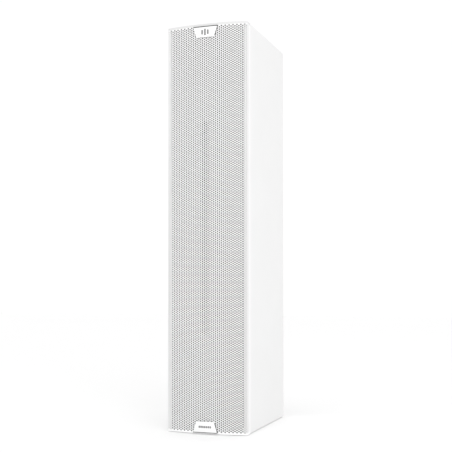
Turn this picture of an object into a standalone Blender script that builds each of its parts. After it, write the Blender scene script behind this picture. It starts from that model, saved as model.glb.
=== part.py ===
"""Column line array speaker: a tall plywood cabinet with a bowed perforated front grille.

Four 6.5 inch woofers stand in a line behind a slot-shaped high-frequency waveguide, and an amplifier
module with its controls and sockets fills a recess in the rear. Metres, +Z up, front towards -Y,
origin on the floor under the middle of the cabinet.
"""

import math

import bmesh
import bpy
from mathutils import Matrix, Vector

# ---------------------------------------------------------------- driving dimensions
HEIGHT = 1.060
WIDTH = 0.220
DEPTH = 0.360
FOOT_HEIGHT = 0.0016
WALL = 0.012
REAR_WALL = 0.015
REAR_RECESS = 0.030
GAP = 0.0003  # left between pieces that touch

# Grille: a bowed front with rounded corners, folded back over the sides, the top and the bottom.
GRILLE_SHEET = 0.0010
GRILLE_BOW = 0.012
GRILLE_CORNER = 0.006
GRILLE_FLANGE = 0.025
FOAM = 0.005
BADGE = 0.003

# Drivers
WOOFER_NEAR = 0.116  # from the middle of the front to the inner pair of woofers
WOOFER_FAR = 0.292
WOOFER_RADIUS = 0.083
WOOFER_HOLE = 0.0715
PORT_OFFSET = 0.445
PORT_RADIUS = 0.032
PORT_LENGTH = 0.100
PORT_WALL = 0.003
SLOT_LENGTH = 0.552
SLOT_WIDTH = 0.017
THROAT_OUTER, THROAT_INNER = 0.020, 0.0125

# Rear module
PLATE = 0.003
PLATE_HALF_WIDTH = 0.080
PLATE_LOW, PLATE_HIGH = 0.105, 0.565
MODULE_HALF_WIDTH = 0.066
MODULE_LOW, MODULE_HIGH = 0.125, 0.545
CONTROL_X = 0.032
CONTROL_Z = 0.490
SOCKET_Z = 0.432
MAINS_Z = 0.152
ROCKER_TILT = math.radians(8)
ROCKER_Z = 0.0130  # above the middle of the mains inlet
INLET_X, INLET_Z = 0.0135, 0.0240
BARREL = 0.0118  # radius of an XLR socket's barrel
LATCH_SLOT = 0.0043
LATCH_LOW, LATCH_HIGH = 0.0102, 0.0130
BUTTON = 0.0045

# Hardware
HANDLE_HALF_WIDTH = 0.060
HANDLE_LOW, HANDLE_HIGH = 0.765, 0.915
POLE_Y = 0.012
POLE_CUP_OUTER, POLE_CUP_INNER = 0.0205, 0.0180  # for a 35 mm pole
SCREW_HEAD, SCREW_SHANK = 0.0085, 0.0040  # M8 blanking screws in the flying points
SCREW_RECESS = 0.0030
REAR_SCREW_Z = 0.970

# ---------------------------------------------------------------- derived places
CABINET_LOW = FOOT_HEIGHT
MIDDLE_Z = (CABINET_LOW + HEIGHT) / 2
SIDE = WIDTH / 2
INNER_SIDE = SIDE - WALL
INNER_LOW = CABINET_LOW + WALL
INNER_HIGH = HEIGHT - WALL
REAR_Y = DEPTH / 2
GRILLE_FRONT = -DEPTH / 2 + BADGE
GRILLE_SHOULDER = GRILLE_FRONT + GRILLE_BOW
GRILLE_BACK = GRILLE_SHOULDER + GRILLE_FLANGE
BOW_RADIUS = (SIDE**2 + GRILLE_BOW**2) / (2 * GRILLE_BOW)
NECK_FRONT = GRILLE_SHOULDER + 0.011
NECK_STEP = GRILLE_SHEET + 0.0005
BAFFLE_FRONT = GRILLE_BACK + 0.006
BAFFLE_THICK = 0.015
BAFFLE_BACK = BAFFLE_FRONT + BAFFLE_THICK
WALL_OUTER = REAR_Y - REAR_RECESS
WALL_INNER = WALL_OUTER - REAR_WALL
GUIDE_FRONT = GRILLE_FRONT + GRILLE_SHEET + 0.001
GUIDE_BACK = BAFFLE_FRONT - 0.015
MODULE_INNER = WALL_OUTER - 0.070
PLATE_Y = WALL_OUTER + GAP
PLATE_OUTER = PLATE_Y + PLATE
FLANGE_Y = PLATE_OUTER + GAP
WOOFER_HEIGHTS = [MIDDLE_Z + z for z in (WOOFER_FAR, WOOFER_NEAR, -WOOFER_NEAR, -WOOFER_FAR)]
FACING_FRONT = (math.radians(90), 0, 0)  # local +Z becomes world -Y
FACING_REAR = (math.radians(-90), 0, 0)  # local +Z becomes world +Y
FLYING_POINTS = (
    ("flying_screw_top", (0, 0, HEIGHT), (0, 0, 0)),
    ("flying_screw_rear", (0, WALL_OUTER, REAR_SCREW_Z), FACING_REAR),
)

STEPS_FINE = 24
STEPS = 16
STEPS_SMALL = 12
BASKET_STEPS = 20


# ---------------------------------------------------------------- scene and materials
def clear_scene():
    for old in list(bpy.data.objects):
        bpy.data.objects.remove(old)


def collection(name):
    made = bpy.data.collections.new(name)
    bpy.context.scene.collection.children.link(made)
    return made


clear_scene()
PARTS = collection("line_array_speaker")
CUTTERS = collection("cutters")


def material(name, colour, roughness, metallic=0.0):
    made = bpy.data.materials.new(name)
    made.use_nodes = True
    shader = made.node_tree.nodes["Principled BSDF"]
    shader.inputs["Base Color"].default_value = (*colour, 1.0)
    shader.inputs["Roughness"].default_value = roughness
    shader.inputs["Metallic"].default_value = metallic
    return made


WHITE_PAINT = material("white_paint", (0.86, 0.86, 0.86), 0.6)
WHITE_STEEL = material("white_powder_coat", (0.84, 0.84, 0.84), 0.45)
WHITE_FOAM = material("white_foam", (0.70, 0.70, 0.70), 0.95)
WHITE_PLASTIC = material("white_plastic", (0.88, 0.88, 0.88), 0.35)
BLACK_PAINT = material("black_paint", (0.03, 0.03, 0.03), 0.7)
BLACK_PLASTIC = material("black_plastic", (0.025, 0.025, 0.025), 0.5)
PLYWOOD = material("bare_plywood", (0.60, 0.45, 0.28), 0.75)
PAPER = material("cone_paper", (0.04, 0.04, 0.04), 0.9)
RUBBER = material("rubber", (0.02, 0.02, 0.02), 0.8)
SPIDER_CLOTH = material("spider_cloth", (0.55, 0.38, 0.16), 0.9)
FERRITE = material("ferrite", (0.09, 0.09, 0.10), 0.5, 0.4)
ALUMINIUM = material("aluminium", (0.65, 0.66, 0.67), 0.35, 1.0)
BLACK_METAL = material("black_metal", (0.03, 0.03, 0.03), 0.4, 0.6)
STEEL = material("zinc_steel", (0.62, 0.62, 0.60), 0.4, 1.0)
BOARD = material("circuit_board", (0.02, 0.16, 0.07), 0.5)
COPPER = material("copper", (0.72, 0.35, 0.16), 0.35, 1.0)
CABLE = material("cable_sheath", (0.05, 0.05, 0.05), 0.6)


# ---------------------------------------------------------------- modelling helpers
def place(made, name, surface, at=(0, 0, 0), turn=(0, 0, 0)):
    """Names the object, and puts it in the model, or among the cutters when it has no surface."""
    made.name = name
    made.location = at
    made.rotation_euler = turn
    if surface is None:
        CUTTERS.objects.link(made)
        made.hide_render = True
        made.display_type = "WIRE"
    else:
        PARTS.objects.link(made)
        made.data.materials.append(surface)
    return made


def from_bmesh(name, shape):
    bmesh.ops.recalc_face_normals(shape, faces=shape.faces)
    mesh = bpy.data.meshes.new(name)
    shape.to_mesh(mesh)
    shape.free()
    return bpy.data.objects.new(name, mesh)


def block(name, surface, low, high, bevel=0.0):
    """A box between two corners, with rounded edges if bevel is given."""
    low, high = Vector(low), Vector(high)
    shape = bmesh.new()
    bmesh.ops.create_cube(shape, size=1.0, matrix=Matrix.Diagonal((*(high - low), 1.0)))
    made = place(from_bmesh(name, shape), name, surface, (low + high) / 2)
    if bevel:
        rounding = made.modifiers.new("rounded_edges", "BEVEL")
        rounding.width = bevel
        rounding.segments = 2
    return made


def cylinder(name, surface, radius, length, at, turn=(0, 0, 0), steps=STEPS):
    """A cylinder centred on a point, along local Z."""
    shape = bmesh.new()
    bmesh.ops.create_cone(
        shape, cap_ends=True, segments=steps, radius1=radius, radius2=radius, depth=length
    )
    return place(from_bmesh(name, shape), name, surface, at, turn)


def turned(name, surface, profile, at, turn, steps=STEPS, ring=False):
    """Turns (radius, height) points about local Z. A ring's profile closes on itself off the axis."""
    mesh = bpy.data.meshes.new(name)
    count = len(profile)
    edges = [(i, i + 1) for i in range(count - 1)]
    if ring:
        edges.append((count - 1, 0))
    mesh.from_pydata([(radius, 0, height) for radius, height in profile], edges, [])
    made = place(bpy.data.objects.new(name, mesh), name, surface, at, turn)
    lathe = made.modifiers.new("lathe", "SCREW")
    lathe.steps = lathe.render_steps = steps
    lathe.use_merge_vertices = True
    lathe.merge_threshold = 0.00001
    lathe.use_smooth_shade = True
    return made


def arc(centre, radius, start, end, segments):
    """Points from one angle to another, in degrees."""
    points = []
    for i in range(segments + 1):
        angle = math.radians(start + (end - start) * i / segments)
        points.append((centre[0] + radius * math.cos(angle), centre[1] + radius * math.sin(angle)))
    return points


def stadium(length, width, segments=6):
    """A slot outline with round ends, long along its second axis."""
    radius = width / 2
    straight = length / 2 - radius
    return arc((0, straight), radius, 0, 180, segments) + arc((0, -straight), radius, 180, 360, segments)


def plate(name, surface, outline, thickness, at=(0, 0, 0), turn=(0, 0, 0)):
    """A flat outline given thickness along local Z, made a mesh so that it can be cut."""
    curve = bpy.data.curves.new(name, "CURVE")
    curve.dimensions = "2D"
    curve.fill_mode = "BOTH"
    curve.extrude = thickness / 2
    spline = curve.splines.new("POLY")
    spline.points.add(len(outline) - 1)
    for point, (x, y) in zip(spline.points, outline):
        point.co = (x, y, 0, 1)
    spline.use_cyclic_u = True
    flat = bpy.data.objects.new(name + "_outline", curve)
    bpy.context.scene.collection.objects.link(flat)
    graph = bpy.context.evaluated_depsgraph_get()
    mesh = bpy.data.meshes.new_from_object(flat.evaluated_get(graph))
    bpy.data.objects.remove(flat)
    shape = bmesh.new()
    shape.from_mesh(mesh)
    bmesh.ops.remove_doubles(shape, verts=shape.verts, dist=0.00001)
    return place(from_bmesh(name, shape), name, surface, at, turn)


def loft(name, surface, sections, at, turn):
    """A solid through outlines of equal point counts, each (points, height along local Z)."""
    shape = bmesh.new()
    rings = []
    for outline, height in sections:
        rings.append([shape.verts.new((x, y, height)) for x, y in outline])
    for lower, upper in zip(rings, rings[1:]):
        for i in range(len(lower)):
            j = (i + 1) % len(lower)
            shape.faces.new((lower[i], lower[j], upper[j], upper[i]))
    shape.faces.new(rings[0])
    shape.faces.new(rings[-1])
    return place(from_bmesh(name, shape), name, surface, at, turn)


def boolean(made, others, operation, label):
    """One Boolean modifier with several operands, kept together in a collection of their own."""
    group = bpy.data.collections.new(f"{label}_{made.name}")
    CUTTERS.children.link(group)
    for other in others:
        group.objects.link(other)
    modifier = made.modifiers.new(label, "BOOLEAN")
    modifier.operation = operation
    modifier.operand_type = "COLLECTION"
    modifier.collection = group
    modifier.solver = "EXACT"
    return made


def cut(made, *cutters):
    return boolean(made, cutters, "DIFFERENCE", "cut")


def join(made, *added):
    return boolean(made, added, "UNION", "join")


def hub(name, at):
    """An empty that carries the pieces of one driver."""
    made = bpy.data.objects.new(name, None)
    made.empty_display_size = 0.02
    made.location = at
    made.rotation_euler = FACING_FRONT
    PARTS.objects.link(made)
    return made


# ---------------------------------------------------------------- cabinet
def build_cabinet():
    """Glued plywood box: open front with a stepped neck for the grille, recessed rear wall."""
    cabinet = block(
        "cabinet", WHITE_PAINT, (-SIDE, NECK_FRONT, CABINET_LOW), (SIDE, REAR_Y, HEIGHT), bevel=0.003
    )
    far = 1.0
    neck_side = SIDE - NECK_STEP
    ahead = NECK_FRONT - 0.05
    step_back = GRILLE_BACK + GAP
    cutters = [
        block("neck_left", None, (-far, ahead, -far), (-neck_side, step_back, 2 * far)),
        block("neck_right", None, (neck_side, ahead, -far), (far, step_back, 2 * far)),
        block("neck_low", None, (-far, ahead, -far), (far, step_back, CABINET_LOW + NECK_STEP)),
        block("neck_high", None, (-far, ahead, HEIGHT - NECK_STEP), (far, step_back, 2 * far)),
        block("inside", None, (-INNER_SIDE, ahead, INNER_LOW), (INNER_SIDE, WALL_INNER, INNER_HIGH)),
        block("rear_recess", None, (-INNER_SIDE, WALL_OUTER, INNER_LOW), (INNER_SIDE, far, INNER_HIGH)),
        block(
            "module_opening",
            None,
            (-MODULE_HALF_WIDTH - 0.001, WALL_INNER - 0.01, MODULE_LOW - 0.001),
            (MODULE_HALF_WIDTH + 0.001, WALL_OUTER + 0.01, MODULE_HIGH + 0.001),
        ),
        block(
            "handle_opening",
            None,
            (-HANDLE_HALF_WIDTH - 0.001, WALL_INNER - 0.01, HANDLE_LOW - 0.001),
            (HANDLE_HALF_WIDTH + 0.001, WALL_OUTER + 0.01, HANDLE_HIGH + 0.001),
        ),
        cylinder("pole_hole", None, POLE_CUP_OUTER + 0.0005, 0.05, (0, POLE_Y, CABINET_LOW), steps=STEPS_FINE),
    ]
    for name, at, turn in FLYING_POINTS:
        shank = cylinder(f"{name}_hole", None, SCREW_SHANK + 0.0004, 0.06, at, turn)
        recess = cylinder(f"{name}_recess", None, SCREW_HEAD + 0.0006, 2 * SCREW_RECESS, at, turn)
        cutters += [shank, recess]
    return cut(cabinet, *cutters)


def build_baffle():
    baffle = block(
        "front_baffle",
        BLACK_PAINT,
        (-INNER_SIDE + GAP, BAFFLE_FRONT, INNER_LOW + GAP),
        (INNER_SIDE - GAP, BAFFLE_BACK, INNER_HIGH - GAP),
    )
    middle = (BAFFLE_FRONT + BAFFLE_BACK) / 2
    through = 0.04
    holes = [
        cylinder(f"woofer_hole_{i}", None, WOOFER_HOLE, through, (0, middle, z), FACING_FRONT, STEPS_FINE)
        for i, z in enumerate(WOOFER_HEIGHTS, 1)
    ]
    for side, sign in (("upper", 1), ("lower", -1)):
        at = (0, middle, MIDDLE_Z + sign * PORT_OFFSET)
        radius = PORT_RADIUS + PORT_WALL + 0.001
        holes.append(cylinder(f"port_hole_{side}", None, radius, through, at, FACING_FRONT))
    holes.append(cylinder("throat_hole", None, THROAT_OUTER + 0.001, through, (0, middle, MIDDLE_Z), FACING_FRONT))
    return cut(baffle, *holes)


def build_braces():
    """Window braces that tie the side walls together between the woofers. The lower one stops at the module."""
    offset = (WOOFER_NEAR + WOOFER_FAR) / 2
    for name, z, rear in (
        ("brace_upper", MIDDLE_Z + offset, WALL_INNER - GAP),
        ("brace_lower", MIDDLE_Z - offset, MODULE_INNER - 0.004),
    ):
        half = WALL / 2
        front = BAFFLE_BACK + GAP
        brace = block(name, PLYWOOD, (-INNER_SIDE + GAP, front, z - half), (INNER_SIDE - GAP, rear, z + half))
        rim = 0.030
        window = block(
            name + "_window",
            None,
            (-INNER_SIDE + rim, front + rim, z - WALL),
            (INNER_SIDE - rim, rear - rim, z + WALL),
        )
        cut(brace, window)


# ---------------------------------------------------------------- front
def bowed_outline(inset, back):
    """Plan of the bowed front with round corners, drawn in by inset and closed at y = back."""
    centre_y = GRILLE_FRONT + BOW_RADIUS
    corner_x = SIDE - GRILLE_CORNER
    reach = BOW_RADIUS - GRILLE_CORNER
    tilt = math.degrees(math.asin(corner_x / reach))
    corner_y = centre_y - math.sqrt(reach**2 - corner_x**2)
    right = arc((corner_x, corner_y), GRILLE_CORNER - inset, 0, tilt - 90, 5)
    bow = arc((0, centre_y), BOW_RADIUS - inset, tilt - 90, -tilt - 90, 12)
    left = [(-x, y) for x, y in reversed(right)]
    return [(SIDE - inset, back), *right, *bow[1:-1], *left, (-SIDE + inset, back)]


def build_grille():
    """Steel sheet pan. Its perforation is far finer than this solid, so the sheet is plain here."""
    height = HEIGHT - CABINET_LOW
    pan = plate(
        "front_grille", WHITE_STEEL, bowed_outline(0, GRILLE_BACK), height, (0, 0, MIDDLE_Z)
    )
    hollow = plate(
        "grille_hollow",
        None,
        bowed_outline(GRILLE_SHEET, GRILLE_BACK + 0.02),
        height - 2 * GRILLE_SHEET,
        (0, 0, MIDDLE_Z),
    )
    return cut(pan, hollow)


def build_foam():
    """Acoustic foam behind the sheet, slit where the waveguide comes through."""
    near, far = GRILLE_SHEET + GAP, GRILLE_SHEET + GAP + FOAM
    half_width = INNER_SIDE - 0.001
    centre_y = GRILLE_FRONT + BOW_RADIUS
    outline = []
    for inset, sign in ((near, 1), (far, -1)):
        radius = BOW_RADIUS - inset
        reach = math.degrees(math.asin(half_width / radius))
        outline += arc((0, centre_y), radius, -90 + sign * reach, -90 - sign * reach, 10)
    height = HEIGHT - CABINET_LOW - 2 * (GRILLE_SHEET + 0.002)
    foam = plate("grille_foam", WHITE_FOAM, outline, height, (0, 0, MIDDLE_Z))
    slit = plate(
        "foam_slit",
        None,
        stadium(SLOT_LENGTH + 0.004, SLOT_WIDTH + 0.004),
        0.05,
        (0, GRILLE_FRONT, MIDDLE_Z),
        FACING_FRONT,
    )
    return cut(foam, slit)


def build_badges():
    """Two blank keystone plates, wide end towards the nearer end of the cabinet."""
    wide, narrow, tall = 0.068, 0.051, 0.029
    outline = [(-wide / 2, tall / 2), (wide / 2, tall / 2), (narrow / 2, -tall / 2), (-narrow / 2, -tall / 2)]
    thick = BADGE - GAP
    middle = -DEPTH / 2 + thick / 2
    top_z = HEIGHT - 0.007 - tall / 2
    bottom_z = CABINET_LOW + 0.0025 + tall / 2
    flipped = [(x, -y) for x, y in outline]
    plate("badge_top", WHITE_PLASTIC, outline, thick, (0, middle, top_z), FACING_FRONT)
    plate("badge_bottom", WHITE_PLASTIC, flipped, thick, (0, middle, bottom_z), FACING_FRONT)


# ---------------------------------------------------------------- woofers and ports
def basket_profile():
    rim, seat = WOOFER_RADIUS, WOOFER_HOLE - 0.001
    return [
        (rim, 0.0033),
        (rim, GAP),
        (seat, GAP),
        (seat, -0.016),
        (0.046, -0.0465),
        (0.046, -0.0490),
        (0.020, -0.0490),
        (0.020, -0.0470),
        (0.0440, -0.0470),
        (seat - 0.002, -0.0155),
        (seat - 0.002, 0.0033),
    ]


def magnet_profile():
    return [
        (0, -0.0450),
        (0.0150, -0.0450),
        (0.0150, -0.0700),
        (0.0190, -0.0700),
        (0.0190, -0.0493),
        (0.0450, -0.0493),
        (0.0450, -0.0553),
        (0.0500, -0.0553),
        (0.0500, -0.0713),
        (0.0470, -0.0713),
        (0.0470, -0.0773),
        (0, -0.0773),
    ]


def cone_profile():
    """Cone, dust cap and voice-coil former, which move as one."""
    return [
        (0, -0.0150),
        (0.0110, -0.0165),
        (0.0200, -0.0215),
        (0.0610, 0.0030),
        (0.0620, 0.0020),
        (0.0175, -0.0290),
        (0.0175, -0.0600),
        (0.0165, -0.0600),
        (0.0165, -0.0260),
        (0.0100, -0.0185),
        (0, -0.0165),
    ]


def surround_profile():
    """Half roll between the cone's rim and the basket, with a flat outer lip."""
    centre, roll, skin, lip = (0.0666, 0.0036), 0.0041, 0.0010, 0.0048
    outer = arc(centre, roll, 180, 15, 4)
    inner = arc(centre, roll - skin, 0, 180, 4)
    return [*outer, (0.0780, lip), (0.0780, 0.0036), *inner]


def spider_profile():
    """Corrugated centring disc between the coil former and the basket."""
    inner, outer, level, wave, skin = 0.0181, 0.0485, -0.0370, 0.0011, 0.0009
    crests = 5
    top = []
    for i in range(crests):
        radius = inner + (outer - inner) * i / (crests - 1)
        top.append((radius, level + (wave if i % 2 else -wave)))
    return [*top, *[(radius, height - skin) for radius, height in reversed(top)]]


def build_woofers():
    for number, z in enumerate(WOOFER_HEIGHTS, 1):
        centre = hub(f"woofer_{number}", (0, BAFFLE_FRONT, z))
        profile, origin = basket_profile(), (0, 0, 0)
        basket = turned(f"basket_{number}", BLACK_METAL, profile, origin, origin, BASKET_STEPS, ring=True)
        windows = []
        for spoke in range(6):
            angle = math.radians(60 * spoke)
            window = block(f"window_{number}_{spoke}", None, (-0.015, -0.019, -0.011), (0.015, 0.019, 0.011))
            window.location = (0.062 * math.cos(angle), 0.062 * math.sin(angle), -0.031)
            window.rotation_euler = (0, 0, angle)
            windows.append(window)
        cut(basket, *windows)
        pieces = [
            basket,
            turned(f"magnet_{number}", FERRITE, magnet_profile(), (0, 0, 0), (0, 0, 0)),
            turned(f"cone_{number}", PAPER, cone_profile(), (0, 0, 0), (0, 0, 0)),
            turned(f"surround_{number}", RUBBER, surround_profile(), (0, 0, 0), (0, 0, 0), ring=True),
            turned(f"spider_{number}", SPIDER_CLOTH, spider_profile(), (0, 0, 0), (0, 0, 0), ring=True),
        ]
        for piece in pieces + windows:
            piece.parent = centre


def build_ports():
    """Bass-reflex tubes with a flared lip on the baffle."""
    outer, inner, lip = PORT_RADIUS + PORT_WALL, PORT_RADIUS, 0.010
    profile = [
        (outer + lip, 0.0030),
        (outer + lip, GAP),
        (outer, GAP),
        (outer, -PORT_LENGTH),
        (inner, -PORT_LENGTH),
        (inner, -0.004),
        (inner + 0.004, 0.0030),
    ]
    for side, sign in (("upper", 1), ("lower", -1)):
        at = (0, BAFFLE_FRONT, MIDDLE_Z + sign * PORT_OFFSET)
        turned(f"port_{side}", BLACK_PLASTIC, profile, at, FACING_FRONT, ring=True)


# ---------------------------------------------------------------- high-frequency section


def build_waveguide():
    """Slot horn in front of the woofers, on two posts, with its throat in the middle."""
    depth = GUIDE_BACK - GUIDE_FRONT
    spread = 0.009
    outer = [
        (stadium(SLOT_LENGTH + spread, SLOT_WIDTH + spread), 0.0),
        (stadium(SLOT_LENGTH, SLOT_WIDTH), depth),
    ]
    guide = loft("waveguide", BLACK_PLASTIC, outer, (0, GUIDE_BACK, MIDDLE_Z), FACING_FRONT)
    lip, floor_width, floor = 0.003, 0.004, 0.004
    groove = loft(
        "guide_groove",
        None,
        [
            (stadium(SLOT_LENGTH - lip - 0.010, floor_width), floor),
            (stadium(SLOT_LENGTH - lip, SLOT_WIDTH - lip), depth + 0.0001),
        ],
        (0, GUIDE_BACK, MIDDLE_Z),
        FACING_FRONT,
    )
    throat = cylinder("guide_throat", None, 0.0015, 0.02, (0, GUIDE_BACK, MIDDLE_Z), FACING_FRONT, 8)
    offset = (WOOFER_NEAR + WOOFER_FAR) / 2
    length = BAFFLE_FRONT - GUIDE_BACK - GAP
    posts = []
    for label, sign in (("upper", 1), ("lower", -1)):
        middle = GUIDE_BACK + length / 2 - 0.001
        at = (0, middle, MIDDLE_Z + sign * offset)
        posts.append(cylinder(f"guide_post_{label}", None, 0.004, length + 0.002, at, FACING_FRONT, 12))
    join(guide, *posts)
    return cut(guide, groove, throat)


def build_compression_driver():
    """Throat adapter through the baffle, driver body behind it and its rear cover."""
    front = BAFFLE_FRONT - GUIDE_BACK - GAP
    back = -0.022
    adapter = [
        (THROAT_OUTER - 0.004, front),
        (THROAT_OUTER - 0.004, 0.0035),
        (0.0310, 0.0035),
        (0.0310, GAP),
        (THROAT_OUTER, GAP),
        (THROAT_OUTER, back),
        (THROAT_INNER, back),
        (0.0040, front),
    ]
    at = (0, BAFFLE_FRONT, MIDDLE_Z)
    turned("throat_adapter", ALUMINIUM, adapter, at, FACING_FRONT, ring=True)
    face = back - GAP
    body = [
        (0, face - 0.012),
        (0.0100, face - 0.006),
        (THROAT_INNER, face),
        (0.0420, face),
        (0.0450, face - 0.003),
        (0.0450, face - 0.033),
        (0.0380, face - 0.036),
        (0, face - 0.036),
    ]
    turned("hf_driver", FERRITE, body, at, FACING_FRONT)
    cover_face = face - 0.036 - GAP
    cover = [
        (0, cover_face),
        (0.0340, cover_face),
        (0.0340, cover_face - 0.010),
        (0.0280, cover_face - 0.017),
        (0, cover_face - 0.018),
    ]
    turned("hf_rear_cover", BLACK_PLASTIC, cover, at, FACING_FRONT)


# ---------------------------------------------------------------- rear module


def build_module():
    """Sheet-metal tray behind the rear plate, with the boards and the parts on them."""
    skin = 0.0015
    tray = block(
        "amp_chassis",
        STEEL,
        (-MODULE_HALF_WIDTH, MODULE_INNER, MODULE_LOW),
        (MODULE_HALF_WIDTH, WALL_OUTER, MODULE_HIGH),
    )
    hollow = block(
        "tray_hollow",
        None,
        (-MODULE_HALF_WIDTH + skin, MODULE_INNER + skin, MODULE_LOW + skin),
        (MODULE_HALF_WIDTH - skin, WALL_OUTER + 0.01, MODULE_HIGH - skin),
    )
    cut(tray, hollow)
    board_y = MODULE_INNER + 0.008
    board_thick = 0.0016
    block("amp_board", BOARD, (-0.058, board_y, 0.185), (0.058, board_y + board_thick, 0.530))
    top = board_y + board_thick + GAP
    block("smps_transformer", CABLE, (-0.022, top, 0.212), (0.022, top + 0.028, 0.250), bevel=0.002)
    cylinder("filter_capacitor", CABLE, 0.011, 0.034, (0.036, top + 0.017, 0.230), FACING_REAR)
    ring = [
        (0.016, 0.012),
        (0.016, 0.000),
        (0.008, 0.000),
        (0.008, 0.012),
    ]
    turned("output_inductor", COPPER, ring, (-0.030, top, 0.300), FACING_REAR, STEPS, ring=True)


def build_plate():
    """Aluminium rear plate with openings for the controls, the sockets and the mains inlet."""
    rear = block(
        "amp_plate",
        BLACK_METAL,
        (-PLATE_HALF_WIDTH, PLATE_Y, PLATE_LOW),
        (PLATE_HALF_WIDTH, PLATE_OUTER, PLATE_HIGH),
    )
    holes = []
    for name, radius, x, z in (
        ("input", BARREL + 0.0004, -CONTROL_X, SOCKET_Z),
        ("link", BARREL + 0.0004, CONTROL_X, SOCKET_Z),
        ("gain", 0.0040, -CONTROL_X, CONTROL_Z),
        ("encoder", 0.0040, CONTROL_X, CONTROL_Z),
        ("mute", BUTTON + 0.0005, 0, CONTROL_Z),
    ):
        holes.append(cylinder(f"{name}_opening", None, radius, 0.02, (x, PLATE_OUTER, z), FACING_REAR))
    holes.append(
        block(
            "latch_opening",
            None,
            (-CONTROL_X - LATCH_SLOT, PLATE_Y - 0.01, SOCKET_Z + LATCH_LOW - 0.0004),
            (-CONTROL_X + LATCH_SLOT, PLATE_OUTER + 0.01, SOCKET_Z + LATCH_HIGH + 0.0008),
        )
    )
    holes.append(
        block(
            "mains_opening",
            None,
            (-INLET_X - 0.0004, PLATE_Y - 0.01, MAINS_Z - INLET_Z - 0.0004),
            (INLET_X + 0.0004, PLATE_OUTER + 0.01, MAINS_Z + INLET_Z + 0.0004),
        )
    )
    return cut(rear, *holes)


def build_heat_sink():
    """Finned extrusion: a comb outline, long along Z."""
    half, base, tip, fin, count = 0.065, 0.004, 0.0175, 0.0025, 11
    low, high = 0.200, 0.385
    pitch = (2 * half - fin) / (count - 1)
    comb = []
    for i in range(count):
        left = -half + i * pitch
        comb += [(left, base), (left, tip), (left + fin, tip), (left + fin, base)]
    outline = [(half, 0), (-half, 0), *comb[1:-1]]
    plate("heat_sink", ALUMINIUM, outline, high - low, (0, FLANGE_Y, (low + high) / 2))




def socket_body(name, x):
    """Square flange on the plate with a barrel through it."""
    at = Vector((x, FLANGE_Y, SOCKET_Z))
    flange = block(name, BLACK_PLASTIC, at - Vector((0.013, 0, 0.0155)), at + Vector((0.013, 0.002, 0.0155)))
    inner_end = -0.027
    barrel = cylinder(
        name + "_barrel", None, BARREL, 0.0285, at + Vector((0, inner_end / 2, 0)), FACING_REAR, STEPS_FINE
    )
    return join(flange, barrel), at


def build_input_socket():
    """Female three-pin socket with a push-to-release latch above it."""
    socket, at = socket_body("xlr_input", -CONTROL_X)
    ring = turned(
        "input_ring",
        None,
        [(0.0094, 0.01), (0.0094, -0.014), (0.0082, -0.014), (0.0082, 0.01)],
        at,
        FACING_REAR,
        STEPS,
        ring=True,
    )
    pins = []
    for number, angle in enumerate((30, 150, 270), 1):
        spot = Vector((0.0046 * math.cos(math.radians(angle)), 0, 0.0046 * math.sin(math.radians(angle))))
        pins.append(cylinder(f"input_pin_{number}", None, 0.0014, 0.024, at + spot, FACING_REAR, 8))
    notch = block(
        "latch_notch",
        None,
        at + Vector((-LATCH_SLOT, -0.0122, LATCH_LOW - 0.0004)),
        at + Vector((LATCH_SLOT, 0.01, LATCH_HIGH + 0.0004)),
    )
    cut(socket, ring, notch, *pins)
    tab = LATCH_SLOT - 0.0004
    block(
        "xlr_latch",
        STEEL,
        at + Vector((-tab, -0.0095, LATCH_LOW)),
        at + Vector((tab, 0.0038, LATCH_HIGH)),
        bevel=0.0004,
    )


def build_link_socket():
    """Male three-pin socket: an open cup with three pins."""
    socket, at = socket_body("xlr_link", CONTROL_X)
    cup_depth = 0.0150
    cup = cylinder("link_cup", None, 0.0094, 2 * cup_depth, at + Vector((0, 0.002, 0)), FACING_REAR)
    cut(socket, cup)
    floor = 0.002 - cup_depth
    pins = []
    for number, angle in enumerate((30, 150, 270), 1):
        turn = math.radians(angle)
        spot = Vector((0.0046 * math.cos(turn), floor + 0.0045, 0.0046 * math.sin(turn)))
        pins.append(cylinder(f"link_pin_{number}", None, 0.0012, 0.011, at + spot, FACING_REAR, 8))
    boolean(socket, pins, "UNION", "pins")


def build_controls():
    """Gain knob, push encoder with its knob, and mute button."""
    knob = [
        (0, 0.0150),
        (0.0080, 0.0150),
        (0.0092, 0.0138),
        (0.0096, 0.0008),
        (0.0030, 0.0008),
        (0.0030, -0.0200),
        (0, -0.0200),
    ]
    gain = turned("gain_knob", BLACK_PLASTIC, knob, (-CONTROL_X, PLATE_OUTER, CONTROL_Z), FACING_REAR)
    pointer = block(
        "gain_pointer",
        None,
        (-CONTROL_X - 0.0006, PLATE_OUTER + 0.0142, CONTROL_Z + 0.002),
        (-CONTROL_X + 0.0006, PLATE_OUTER + 0.02, CONTROL_Z + 0.02),
    )
    cut(gain, pointer)
    at = (CONTROL_X, PLATE_OUTER, CONTROL_Z)
    cylinder(
        "encoder_shaft", STEEL, 0.0030, 0.030,
        (CONTROL_X, PLATE_OUTER - 0.007, CONTROL_Z), FACING_REAR, STEPS_SMALL,
    )
    cap = [
        (0, 0.0130),
        (0.0068, 0.0130),
        (0.0078, 0.0120),
        (0.0080, 0.0020),
        (0.0034, 0.0020),
        (0.0034, 0.0083),
        (0, 0.0083),
    ]
    dial = turned("dsp_knob", BLACK_PLASTIC, cap, at, FACING_REAR)
    dimple = cylinder(
        "dsp_dimple", None, 0.0012, 0.002, (CONTROL_X, PLATE_OUTER + 0.0130, CONTROL_Z + 0.0048), FACING_REAR, 10
    )
    cut(dial, dimple)
    button = [(0, 0.0030), (0.0040, 0.0030), (BUTTON, 0.0025), (BUTTON, -0.0080), (0, -0.0080)]
    turned("mute_button", RUBBER, button, (0, PLATE_OUTER, CONTROL_Z), FACING_REAR)


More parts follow.
